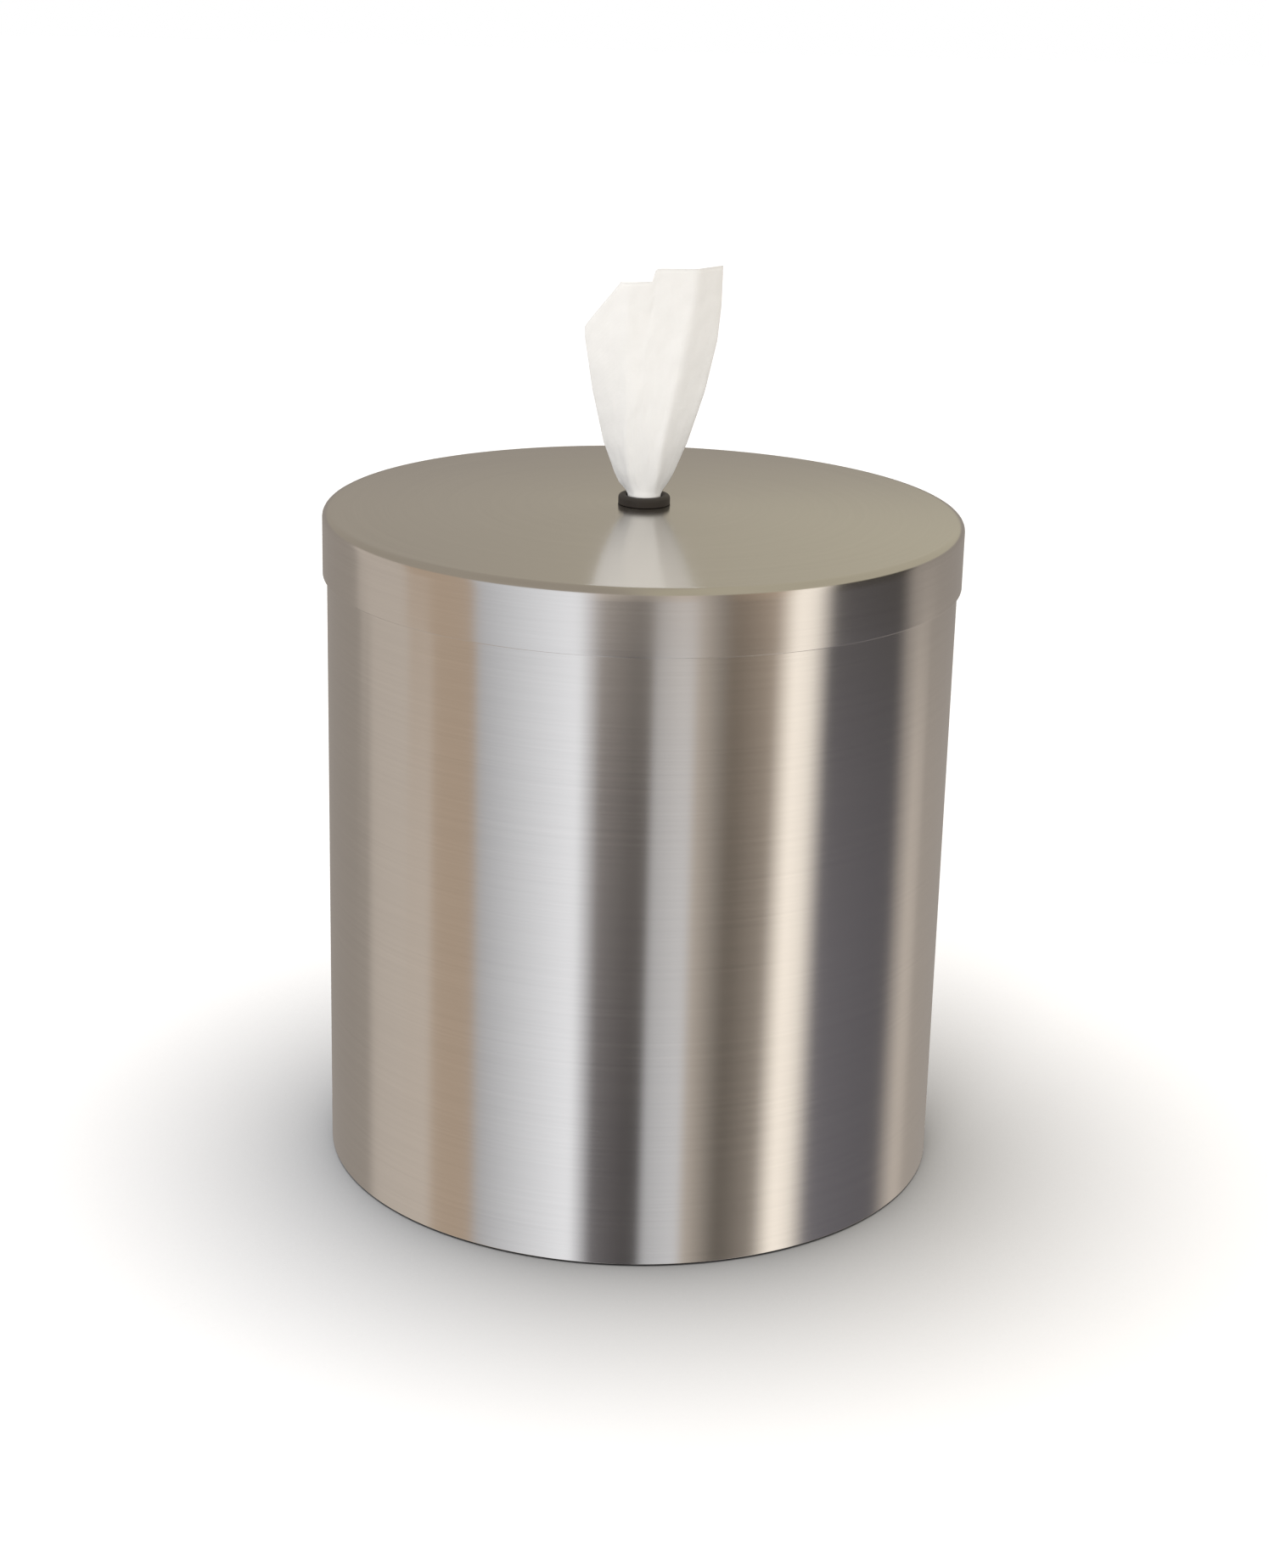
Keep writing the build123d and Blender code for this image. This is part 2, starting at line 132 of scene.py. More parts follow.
class CanisterColours(bpy.types.PropertyGroup):
    steel: bpy.props.FloatVectorProperty(
        name="Stainless steel", description="Colour of the brushed drum and lid", subtype="COLOR",
        size=4, min=0, max=1, default=hex_colour("#CFCBC5"))
    plain_steel: bpy.props.FloatVectorProperty(
        name="Mill steel", description="Colour of the base and fasteners", subtype="COLOR",
        size=4, min=0, max=1, default=hex_colour("#B9B7B3"))
    rubber: bpy.props.FloatVectorProperty(
        name="Rubber", description="Colour of the grommet and feet", subtype="COLOR",
        size=4, min=0, max=1, default=hex_colour("#2B2622"))
    tissue: bpy.props.FloatVectorProperty(
        name="Tissue", description="Colour of the napkins", subtype="COLOR",
        size=4, min=0, max=1, default=hex_colour("#E0DEDA"))
    kraft: bpy.props.FloatVectorProperty(
        name="Kraft paper", description="Colour of the band round the roll", subtype="COLOR",
        size=4, min=0, max=1, default=hex_colour("#C9A77C"))
    tray: bpy.props.FloatVectorProperty(
        name="Tray plastic", description="Colour of the roll's tray", subtype="COLOR",
        size=4, min=0, max=1, default=hex_colour("#C8C9C7"))
    foam: bpy.props.FloatVectorProperty(
        name="Seal foam", description="Colour of the lid's seal", subtype="COLOR",
        size=4, min=0, max=1, default=hex_colour("#4A4A48"))


def sizes():
    """The sizes set for this scene."""
    return bpy.context.scene.canister_sizes


def colours():
    """The colours set for this scene."""
    return bpy.context.scene.canister_colours


# ---- materials ----
def add_node(tree, kind, inputs=None, **settings):
    """Adds a node with its settings; inputs are values, or sockets to link from."""
    node = tree.nodes.new(kind)
    for name, value in settings.items():
        setattr(node, name, value)
    for name, value in (inputs or {}).items():
        if isinstance(value, bpy.types.NodeSocket):
            tree.links.new(value, node.inputs[name])
        else:
            node.inputs[name].default_value = value
    return node


def new_material(name, **values):
    """An empty node material: its tree, its shader and its Object coordinates."""
    material = bpy.data.materials.new(name)
    material.use_nodes = True
    tree = material.node_tree
    shader = next(node for node in tree.nodes if node.type == "BSDF_PRINCIPLED")
    for socket, value in values.items():
        shader.inputs[socket.replace("_", " ")].default_value = value
    place = add_node(tree, "ShaderNodeTexCoord").outputs["Object"]
    return material, tree, shader, place


def scaled(tree, place, scale):
    """Coordinates stretched for a pattern."""
    return add_node(tree, "ShaderNodeVectorMath", {0: place, 1: scale}, operation="MULTIPLY").outputs[0]


def tinted(tree, factor, colour, spread):
    """A colour that varies in lightness with a factor around 0.5."""
    dark = tuple(channel * (1 - spread) for channel in colour[:3])
    light = tuple(min(1.0, channel * (1 + spread)) for channel in colour[:3])
    mix = add_node(tree, "ShaderNodeMix", {"Factor": factor}, data_type="RGBA")
    mix.inputs[6].default_value = (*dark, 1)
    mix.inputs[7].default_value = (*light, 1)
    return mix.outputs[2]


def ranged(tree, value, low, high):
    """A 0 to 1 value moved to another range."""
    return add_node(tree, "ShaderNodeMapRange", {"Value": value, "To Min": low, "To Max": high}).outputs[0]


def bumped(tree, height, strength, distance, normal=None):
    """A bump of a real height in metres, over another one if there is one."""
    inputs = {"Height": height, "Strength": strength, "Distance": distance}
    if normal is not None:
        inputs["Normal"] = normal
    return add_node(tree, "ShaderNodeBump", inputs).outputs["Normal"]


def brushed_stainless(name, colour, roughness, anisotropy, spread):
    """Type 304 stainless sheet, brushed with a number 4 belt around the axis.

    The belt's scratches run around the drum, so a reflection stays crisp around it and is drawn
    out up and down. The scratches are 0.05 to 0.1 mm apart; they are drawn at 0.5 mm and 1.6 mm
    so that they still show from a metre away.
    """
    material, tree, shader, place = new_material(name, Metallic=1.0, Anisotropic=anisotropy)
    parts = add_node(tree, "ShaderNodeSeparateXYZ", {0: place}).outputs
    flat = add_node(tree, "ShaderNodeCombineXYZ", {"X": parts["X"], "Y": parts["Y"]}).outputs[0]
    radius = add_node(tree, "ShaderNodeVectorMath", {0: flat}, operation="LENGTH").outputs["Value"]
    across = add_node(tree, "ShaderNodeMath", {0: radius, 1: parts["Z"]}, operation="ADD").outputs[0]
    outward = add_node(tree, "ShaderNodeVectorMath", {0: flat}, operation="NORMALIZE").outputs[0]
    grain_way = add_node(tree, "ShaderNodeCombineXYZ", {"X": parts["X"], "Y": parts["Y"], "Z": across})
    fine = add_node(
        tree, "ShaderNodeTexNoise",
        {"Vector": scaled(tree, grain_way.outputs[0], (22, 22, 1 / (0.5 * MM))), "Scale": 1.0,
         "Detail": 3.0, "Roughness": 0.6})
    coarse = add_node(
        tree, "ShaderNodeTexNoise",
        {"Vector": scaled(tree, grain_way.outputs[0], (9, 9, 1 / (1.6 * MM))), "Scale": 1.0,
         "Detail": 2.0})
    cloudy = add_node(tree, "ShaderNodeTexNoise", {"Vector": place, "Scale": 14.0, "Detail": 3.0})
    streaks = add_node(
        tree, "ShaderNodeMath", {0: fine.outputs["Fac"], 1: coarse.outputs["Fac"]},
        operation="ADD").outputs[0]
    streaks = add_node(tree, "ShaderNodeMath", {0: streaks, 1: 0.5}, operation="MULTIPLY").outputs[0]
    tree.links.new(tinted(tree, streaks, colour, spread), shader.inputs["Base Color"])
    rough = add_node(
        tree, "ShaderNodeMath", {0: streaks, 1: cloudy.outputs["Fac"]}, operation="ADD").outputs[0]
    rough = add_node(tree, "ShaderNodeMath", {0: rough, 1: 0.5}, operation="MULTIPLY").outputs[0]
    tree.links.new(ranged(tree, rough, roughness - 0.04, roughness + 0.04), shader.inputs["Roughness"])
    up = add_node(tree, "ShaderNodeVectorMath", {0: outward, 1: (0, 0, 1)}, operation="ADD").outputs[0]
    tree.links.new(up, shader.inputs["Tangent"])
    tree.links.new(bumped(tree, streaks, 0.25, 0.02 * MM), shader.inputs["Normal"])
    return material


def mill_finish(name, colour, roughness, spacing):
    """Cold-rolled or turned steel without a brushed face: a fine, even, satin tooth."""
    material, tree, shader, place = new_material(name, Metallic=1.0)
    tooth = add_node(tree, "ShaderNodeTexNoise", {"Vector": place, "Scale": 1 / spacing, "Detail": 4.0})
    cloudy = add_node(tree, "ShaderNodeTexNoise", {"Vector": place, "Scale": 30.0, "Detail": 2.0})
    tree.links.new(tinted(tree, cloudy.outputs["Fac"], colour, 0.12), shader.inputs["Base Color"])
    tree.links.new(
        ranged(tree, tooth.outputs["Fac"], roughness - 0.08, roughness + 0.08), shader.inputs["Roughness"])
    tree.links.new(bumped(tree, tooth.outputs["Fac"], 0.3, 0.03 * MM), shader.inputs["Normal"])
    return material


def moulded_rubber(name, colour):
    """Compression-moulded EPDM: matt, warm near-black, with a slight bloom and a fine tooth."""
    material, tree, shader, place = new_material(name, IOR=1.52)
    tooth = add_node(tree, "ShaderNodeTexNoise", {"Vector": place, "Scale": 1800.0, "Detail": 3.0})
    bloom = add_node(tree, "ShaderNodeTexNoise", {"Vector": place, "Scale": 160.0, "Detail": 4.0})
    tree.links.new(tinted(tree, bloom.outputs["Fac"], colour, 0.35), shader.inputs["Base Color"])
    tree.links.new(ranged(tree, bloom.outputs["Fac"], 0.42, 0.62), shader.inputs["Roughness"])
    tree.links.new(bumped(tree, tooth.outputs["Fac"], 0.4, 0.05 * MM), shader.inputs["Normal"])
    return material


def cut_foam(name, colour):
    """Closed-cell EPDM foam strip: a dull skin broken by cut cells about 0.6 mm wide."""
    material, tree, shader, place = new_material(name, IOR=1.5, Roughness=0.9)
    cells = add_node(tree, "ShaderNodeTexVoronoi", {"Vector": place, "Scale": 1 / (0.6 * MM)})
    tree.links.new(tinted(tree, cells.outputs["Distance"], colour, 0.35), shader.inputs["Base Color"])
    tree.links.new(bumped(tree, cells.outputs["Distance"], 0.6, 0.2 * MM), shader.inputs["Normal"])
    return material


def moulded_polypropylene(name, colour):
    """Injection-moulded polypropylene with a spark-eroded texture, grains about 0.4 mm wide."""
    material, tree, shader, place = new_material(name, IOR=1.49, Subsurface_Weight=0.05)
    shader.inputs["Subsurface Radius"].default_value = (1 * MM, 1 * MM, 1 * MM)
    grains = add_node(tree, "ShaderNodeTexNoise", {"Vector": place, "Scale": 1 / (0.4 * MM), "Detail": 2.0})
    flow = add_node(tree, "ShaderNodeTexNoise", {"Vector": place, "Scale": 25.0, "Detail": 2.0})
    tree.links.new(tinted(tree, flow.outputs["Fac"], colour, 0.06), shader.inputs["Base Color"])
    tree.links.new(ranged(tree, grains.outputs["Fac"], 0.38, 0.55), shader.inputs["Roughness"])
    tree.links.new(bumped(tree, grains.outputs["Fac"], 0.35, 0.06 * MM), shader.inputs["Normal"])
    return material


def embossed_tissue(name, colour):
    """Two-ply creped tissue: soft, matt, slightly see-through, with crepe and small embossed dots.

    Crepe ridges are 0.3 mm apart and run across the web; they are drawn at 0.8 mm to show. The
    dots are 2.6 mm apart.
    """
    material, tree, shader, place = new_material(name, IOR=1.45, Roughness=0.95, Sheen_Weight=0.15)
    web = add_node(tree, "ShaderNodeUVMap").outputs["UV"]
    metres = (sizes().napkin_width, sizes().napkin_length, 1)
    on_web = scaled(tree, web, metres)
    crepe = add_node(
        tree, "ShaderNodeTexNoise",
        {"Vector": scaled(tree, on_web, (180, 1 / (0.8 * MM), 1)), "Scale": 1.0, "Detail": 3.0})
    dots = add_node(
        tree, "ShaderNodeTexVoronoi", {"Vector": on_web, "Scale": 1 / (2.6 * MM), "Randomness": 0.35})
    mottle = add_node(tree, "ShaderNodeTexNoise", {"Vector": place, "Scale": 130.0, "Detail": 4.0})
    tree.links.new(tinted(tree, mottle.outputs["Fac"], colour, 0.035), shader.inputs["Base Color"])
    relief = bumped(tree, crepe.outputs["Fac"], 0.35, 0.12 * MM)
    relief = bumped(tree, dots.outputs["Distance"], 0.25, 0.15 * MM, relief)
    relief = bumped(tree, mottle.outputs["Fac"], 0.3, 0.5 * MM, relief)
    tree.links.new(relief, shader.inputs["Normal"])
    return material


def wound_tissue(name, colour):
    """A hard-wound tissue roll: its ends show the turns' edges, its side the creped outer turn.

    Turns are 0.2 mm apart; they are drawn as bands of 0.7 mm so that the winding shows.
    """
    material, tree, shader, place = new_material(name, IOR=1.45, Roughness=0.95, Sheen_Weight=0.12)
    parts = add_node(tree, "ShaderNodeSeparateXYZ", {0: place}).outputs
    flat = add_node(tree, "ShaderNodeCombineXYZ", {"X": parts["X"], "Y": parts["Y"]}).outputs[0]
    radius = add_node(tree, "ShaderNodeVectorMath", {0: flat}, operation="LENGTH").outputs["Value"]
    turn = add_node(tree, "ShaderNodeCombineXYZ", {"X": parts["X"], "Y": parts["Y"], "Z": radius})
    turns = add_node(
        tree, "ShaderNodeTexNoise",
        {"Vector": scaled(tree, turn.outputs[0], (8, 8, 1 / (0.7 * MM))), "Scale": 1.0, "Detail": 3.0})
    crepe = add_node(
        tree, "ShaderNodeTexNoise",
        {"Vector": scaled(tree, place, (1 / (1.2 * MM), 1 / (1.2 * MM), 120)), "Scale": 1.0, "Detail": 3.0})
    tree.links.new(tinted(tree, turns.outputs["Fac"], colour, 0.1), shader.inputs["Base Color"])
    relief = bumped(tree, turns.outputs["Fac"], 0.6, 0.4 * MM)
    relief = bumped(tree, crepe.outputs["Fac"], 0.4, 0.2 * MM, relief)
    tree.links.new(relief, shader.inputs["Normal"])
    return material


def kraft_paper(name, colour):
    """Unbleached kraft paper: brown, faintly glossy from the calender, with visible fibres."""
    material, tree, shader, place = new_material(name, IOR=1.5)
    fibres = add_node(
        tree, "ShaderNodeTexNoise",
        {"Vector": scaled(tree, place, (500, 500, 1600)), "Scale": 1.0, "Detail": 5.0, "Distortion": 0.6})
    flecks = add_node(tree, "ShaderNodeTexVoronoi", {"Vector": place, "Scale": 420.0})
    both = add_node(
        tree, "ShaderNodeMath", {0: fibres.outputs["Fac"], 1: flecks.outputs["Distance"]},
        operation="ADD").outputs[0]
    both = add_node(tree, "ShaderNodeMath", {0: both, 1: 0.55}, operation="MULTIPLY").outputs[0]
    tree.links.new(tinted(tree, both, colour, 0.16), shader.inputs["Base Color"])
    tree.links.new(ranged(tree, fibres.outputs["Fac"], 0.55, 0.75), shader.inputs["Roughness"])
    tree.links.new(bumped(tree, fibres.outputs["Fac"], 0.3, 0.06 * MM), shader.inputs["Normal"])
    return material


# ---- mesh helpers ----
def turned_mesh(corners, cuts=()):
    """A closed section in the XZ plane, its corners rounded, ready to be spun.

    corners are (radius, height, rounding); cuts are (corner before the edge, number of cuts).
    """
    mesh = bmesh.new()
    points = [mesh.verts.new((radius, 0, height)) for radius, height, rounding in corners]
    edges = [mesh.edges.new((point, points[index - len(points) + 1])) for index, point in enumerate(points)]
    mesh.faces.new(points)
    for first, number in cuts:
        bmesh.ops.subdivide_edges(mesh, edges=[edges[first]], cuts=number)
    for radius, height, rounding in corners:
        if rounding:
            # Each bevel renews the mesh, so a corner is found again by its place.
            corner = Vector((radius, 0, height))
            point = min(mesh.verts, key=lambda vert: (vert.co - corner).length)
            bmesh.ops.bevel(
                mesh, geom=[point], offset=rounding, offset_type="OFFSET", segments=5, profile=0.5,
                affect="VERTICES", material=-1)
    bmesh.ops.delete(mesh, geom=mesh.faces[:], context="FACES_ONLY")
    return mesh


def spun(mesh, around):
    """Spins a wire section about the Z axis into a closed shell that faces outwards."""
    bmesh.ops.spin(
        mesh, geom=mesh.verts[:] + mesh.edges[:], cent=(0, 0, 0), axis=(0, 0, 1), dvec=(0, 0, 0),
        angle=tau, steps=around, use_merge=True, use_duplicate=False)
    bmesh.ops.remove_doubles(mesh, verts=mesh.verts[:], dist=0.5e-6)
    bmesh.ops.recalc_face_normals(mesh, faces=mesh.faces[:])
    return mesh


def finished(mesh, name, body, material, nodes, weighted=True):
    """Makes a bmesh a piece of the object: smooth, finished, riding and standing for its nodes."""
    for face in mesh.faces:
        face.smooth = True
    data = bpy.data.meshes.new(name)
    mesh.to_mesh(data)
    mesh.free()
    piece = bpy.data.objects.new(name, data)
    bpy.context.scene.collection.objects.link(piece)
    data.materials.append(material)
    if weighted:
        piece.modifiers.new("Even faces", "WEIGHTED_NORMAL").keep_sharp = True
    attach(piece, body)
    if nodes:
        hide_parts(*nodes)
    return piece


def sheet_mesh(columns, rows, place):
    """A grid with its UV map, each point moved to place(across, along) with both from 0 to 1."""
    mesh = bmesh.new()
    mesh.loops.layers.uv.new("UVMap")
    bmesh.ops.create_grid(mesh, x_segments=columns, y_segments=rows, size=0.5, calc_uvs=True)
    for point in mesh.verts:
        point.co = place(point.co.x + 0.5, point.co.y + 0.5)
    bmesh.ops.recalc_face_normals(mesh, faces=mesh.faces[:])
    return mesh


def thickened(piece, thickness):
    """Gives a sheet its thickness, half to each side."""
    solidify = piece.modifiers.new("Thickness", "SOLIDIFY")
    solidify.thickness = thickness
    solidify.offset = 0.0
    return piece


def dress(nodes, material):
    """Puts a material on CAD nodes that keep their own shape."""
    for name in nodes:
        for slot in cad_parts[name].material_slots:
            slot.link = "OBJECT"
            slot.material = material


def turned_by(spot, angle):
    """A flat point turned about the axis."""
    return Vector((spot.x * cos(angle) - spot.y * sin(angle), spot.x * sin(angle) + spot.y * cos(angle)))


def smooth(share):
    """A share from 0 to 1 that starts and ends gently."""
    share = min(1.0, max(0.0, share))
    return share * share * (3 - 2 * share)


def between(keys, at):
    """A value read off a list of (position, value) keys."""
    for (start, first), (end, second) in zip(keys, keys[1:]):
        if at <= end:
            share = max(0.0, (at - start) / (end - start))
            return first + (second - first) * share
    return keys[-1][1]


# ---- pieces ----
class CANISTER_OT_drum(bpy.types.Operator):
    """Rolled and brushed drum wall with its hemmed rim and inside weld"""
    bl_idname = "canister.drum"
    bl_label = "Drum wall"

    def execute(self, context):
        size = sizes()
        inner = DRUM_RADIUS - size.wall_sheet
        leaf_outer = inner - HEM_SLIT
        leaf_inner = leaf_outer - size.wall_sheet
        mesh = turned_mesh([
            (DRUM_RADIUS, DRUM_BOTTOM, CUT_EDGE),
            (DRUM_RADIUS, DRUM_TOP, HEM_FOLD),
            (leaf_inner, DRUM_TOP, HEM_FOLD),
            (leaf_inner, DRUM_TOP - size.hem_depth, CUT_EDGE),
            (leaf_outer, DRUM_TOP - size.hem_depth, CUT_EDGE),
            (leaf_outer, DRUM_TOP - size.wall_sheet, 0),
            (inner, DRUM_TOP - size.wall_sheet, 0),
            (inner, DRUM_BOTTOM, CUT_EDGE),
        ], cuts=[(0, 20), (6, 20)])
        spun(mesh, size.around)
        bead_top = DRUM_TOP - size.hem_depth - BEAD_WIDTH
        bead = bmesh.ops.create_cube(
            mesh, size=1.0,
            matrix=Matrix.Translation((0, inner, (BEAD_BOTTOM + bead_top) / 2))
            @ Matrix.Diagonal((BEAD_WIDTH, BEAD_DEPTH, bead_top - BEAD_BOTTOM, 1)))
        edges = {edge for point in bead["verts"] for edge in point.link_edges}
        bmesh.ops.bevel(
            mesh, geom=list(edges), offset=BEAD_ROUNDING, offset_type="OFFSET", segments=3, profile=0.5,
            affect="EDGES", material=-1)
        steel = brushed_stainless("brushed stainless steel, drum", colours().steel, 0.18, 0.9, 0.08)
        finished(mesh, "drum_shell", "drum", steel, ["drum_wall"])
        return {"FINISHED"}


class CANISTER_OT_base(bpy.types.Operator):
    """Pressed base pan with its feet and their fasteners"""
    bl_idname = "canister.base"
    bl_label = "Base and feet"

    def execute(self, context):
        dress(["base_pan"], mill_finish("cold-rolled stainless steel, base", colours().plain_steel,
                                        0.36, 0.5 * MM))
        fasteners = mill_finish("turned stainless steel, fasteners", colours().plain_steel, 0.3, 0.3 * MM)
        dress(["foot_screws", "foot_cup_washers", "foot_lock_washers", "foot_nuts"], fasteners)
        rubber = moulded_rubber("moulded rubber, feet", colours().rubber)
        dress(["foot_front_left", "foot_front_right", "foot_rear_left", "foot_rear_right"], rubber)
        return {"FINISHED"}


class CANISTER_OT_tray(bpy.types.Operator):
    """Moulded tray that the roll stands in"""
    bl_idname = "canister.tray"
    bl_label = "Roll tray"

    def execute(self, context):
        dress(["roll_tray"], moulded_polypropylene("moulded polypropylene, tray", colours().tray))
        return {"FINISHED"}


class CANISTER_OT_roll(bpy.types.Operator):
    """Coreless napkin roll, the loose turns in its middle and the paper band around it"""
    bl_idname = "canister.roll"
    bl_label = "Napkin roll"

    def execute(self, context):
        size = sizes()
        bore = size.roll_bore / 2
        tissue = wound_tissue("wound tissue, roll", colours().tissue)
        mesh = turned_mesh([
            (bore, ROLL_BOTTOM, ROLL_ROUNDING),
            (ROLL_RADIUS, ROLL_BOTTOM, ROLL_ROUNDING),
            (ROLL_RADIUS, ROLL_TOP, ROLL_ROUNDING),
            (bore, ROLL_TOP, ROLL_ROUNDING),
        ], cuts=[(1, 24), (2, 48), (3, 24)])
        # Turns creep up and down a little as the roll is wound.
        for point in mesh.verts:
            depth = smooth((point.co.z - ROLL_TOP + 1.0 * MM) / (1.0 * MM))
            creep = noise.noise(Vector((point.co.x / (2.1 * MM), 3.7, 0.0)))
            point.co.z -= depth * TURN_CREEP * (0.5 + 0.5 * creep)
        spun(mesh, ROLL_STEPS)
        for point in mesh.verts:
            angle = atan2(point.co.y, point.co.x)
            swell = noise.noise(Vector((cos(angle) * 2, sin(angle) * 2, point.co.z * 16)))
            outside = smooth((point.co.xy.length - 0.09) / 0.02)
            point.co.xy *= 1 - outside * 0.0035 * (0.5 + 0.5 * swell)
        finished(mesh, "wound_roll", "drum", tissue, ["napkin_roll"])

        def turn_place(across, along):
            angle = across * TURNS * tau + 0.05
            radius = TURNS_RADIUS - 0.3 * MM - TURNS_GAP * across
            wave = noise.noise(Vector((cos(angle) * 3, sin(angle) * 3, along * 6 + across * 4)))
            radius += 0.14 * MM * wave
            top = TURNS_TOP - 1.5 * MM - 9 * MM * across * (0.6 + 0.4 * sin(angle * 2.3))
            height = TURNS_BOTTOM + 0.3 * MM + (top - TURNS_BOTTOM - 0.3 * MM) * along
            return Vector((radius * cos(angle), radius * sin(angle), height))

        loose = embossed_tissue("embossed tissue, loose turns", colours().tissue)
        turns_piece = finished(
            sheet_mesh(210, 30, turn_place), "loose_web", "drum", loose, ["loose_turns"],
            weighted=False)
        thickened(turns_piece, size.paper_thickness)

        def band_place(across, along):
            angle = -pi / 3 + across * (tau + BAND_LAP)
            outer = smooth((across * (tau + BAND_LAP) - tau + LAP_STEP) / LAP_STEP)
            radius = BAND_RADIUS - 0.38 * MM + outer * 0.26 * MM
            return Vector((radius * cos(angle), radius * sin(angle),
                           BAND_BOTTOM + (BAND_TOP - BAND_BOTTOM) * along))

        band = finished(
            sheet_mesh(264, 8, band_place), "band_wrap", "drum",
            kraft_paper("kraft paper, roll band", colours().kraft), ["roll_band"], weighted=False)
        thickened(band, BAND_SHEET)
        return {"FINISHED"}


class CANISTER_OT_lid(bpy.types.Operator):
    """Drawn and brushed lid, crowned, with its turned-down band, and the foam seal in it"""
    bl_idname = "canister.lid"
    bl_label = "Lid"

    def execute(self, context):
        size = sizes()
        edge_top = LID_MIDDLE - size.lid_crown
        inner = LID_RADIUS - size.lid_sheet
        hole = size.grommet_groove / 2 + GROMMET_FIT
        mesh = turned_mesh([
            (hole, edge_top, 0),
            (LID_RADIUS, edge_top, size.lid_corner),
            (LID_RADIUS, LID_BOTTOM, CUT_EDGE),
            (inner, LID_BOTTOM, CUT_EDGE),
            (inner, edge_top - size.lid_sheet, size.lid_corner - size.lid_sheet),
            (hole, edge_top - size.lid_sheet, 0),
        ], cuts=[(0, 32), (1, 4), (4, 32)])
        for point in mesh.verts:
            if point.co.z > edge_top - size.lid_corner - size.lid_sheet:
                point.co.z += size.lid_crown * max(0.0, 1 - (point.co.x / LID_RADIUS) ** 2)
        spun(mesh, size.around)
        steel = brushed_stainless("brushed stainless steel, lid", colours().steel, 0.17, 0.45, 0.07)
        finished(mesh, "lid_shell", "lid", steel, ["lid_cap"])
        dress(["lid_seal"], cut_foam("closed-cell foam, seal", colours().foam))
        return {"FINISHED"}


class CANISTER_OT_grommet(bpy.types.Operator):
    """Moulded rubber grommet in the lid's middle"""
    bl_idname = "canister.grommet"
    bl_label = "Grommet"

    def execute(self, context):
        size = sizes()
        bore = size.grommet_bore / 2
        groove = size.grommet_groove / 2
        groove_top = LID_MIDDLE + GROMMET_FIT
        groove_bottom = LID_MIDDLE - size.lid_sheet - GROMMET_FIT
        mesh = turned_mesh([
            (bore, GROMMET_BOTTOM, GROMMET_ROLL),
            (GROMMET_RADIUS, GROMMET_BOTTOM, GROMMET_ROLL * 0.8),
            (GROMMET_RADIUS, groove_bottom, 0.15 * MM),
            (groove, groove_bottom, 0),
            (groove, groove_top, 0),
            (GROMMET_RADIUS, groove_top, 0.15 * MM),
            (GROMMET_RADIUS, GROMMET_TOP, GROMMET_ROLL),
            (bore, GROMMET_TOP, GROMMET_ROLL),
        ])
        spun(mesh, GROMMET_STEPS)
        rubber = moulded_rubber("moulded rubber, grommet", colours().rubber)
        finished(mesh, "grommet_ring", "lid", rubber, ["grommet"])
        return {"FINISHED"}


# Folds of the napkin over the lid's edge plane, in millimetres:
# height: left edge, left fold, right fold, right edge, half depth
FOLD_LEVELS = [
    (6.1, (-6.9, -3.6, 3.4, 6.6, 5.8)),
    (10.0, (-9.8, -5.0, 4.2, 8.9, 6.6)),
    (14.0, (-11.8, -6.2, 5.0, 11.1, 7.3)),
    (25.5, (-16.2, -7.5, 6.5, 16.0, 8.5)),
    (45.0, (-20.9, -7.8, 10.2, 22.2, 9.3)),
    (64.0, (-24.1, -7.7, 14.0, 26.3, 9.6)),
    (77.0, (-24.5, -7.6, 16.4, 27.4, 9.6)),
    (91.5, (-24.5, -7.5, 18.0, 27.5, 9.6)),
]

# Height of the torn top edge over the lid's edge plane, by place across, in millimetres
TORN_EDGE = [(-23.7, 68.0), (-10.4, 85.4), (1.6, 86.3), (2.2, 90.9), (26.5, 91.5)]

TORN_LEVEL = FOLD_LEVELS[-1][0]
OPENING = (3.5, 7.0)            # level where the strand starts to open, and over how much it does
TAIL_SHARE = 0.5                # share of the web's length that is below the grommet's top
STRAND_FIT = 0.15 * MM
STRAND_TWIST = radians(70)
HIDDEN_PLEATS = 12
NEXT_PLEATS = 17
CRINKLE = 0.45 * MM

# Share of the web's width where each fold lies
FOLD_SHARES = (0.0, 0.131, 0.225, 0.352, 0.418, 0.540, 0.653, 0.881, 1.0)


def folds_at(height):
    """The folded web's nine corners at a height, from the inner free edge to the back one."""
    left, left_fold, right_fold, right, depth = (
        between([(level, values[index]) for level, values in FOLD_LEVELS], height) for index in range(5))
    return (
        (0.10 * right, 0.05 * depth),
        (left, 0.25 * depth),
        (left_fold, -0.72 * depth),
        (right_fold, -0.86 * depth),
        (right, 0.20 * depth),
        (-0.08 * left, 0.38 * depth),
        (0.92 * right, 0.58 * depth),
        (0.90 * left, 0.78 * depth),
        (0.10 * right, 0.95 * depth),
    )


def folded(across, height):
    """Place across and in depth of a point of the folded web, in millimetres."""
    corners = folds_at(height)
    across = min(1.0, max(0.0, across))
    return Vector([
        between([(share, corner[axis]) for share, corner in zip(FOLD_SHARES, corners)], across)
        for axis in (0, 1)
    ])


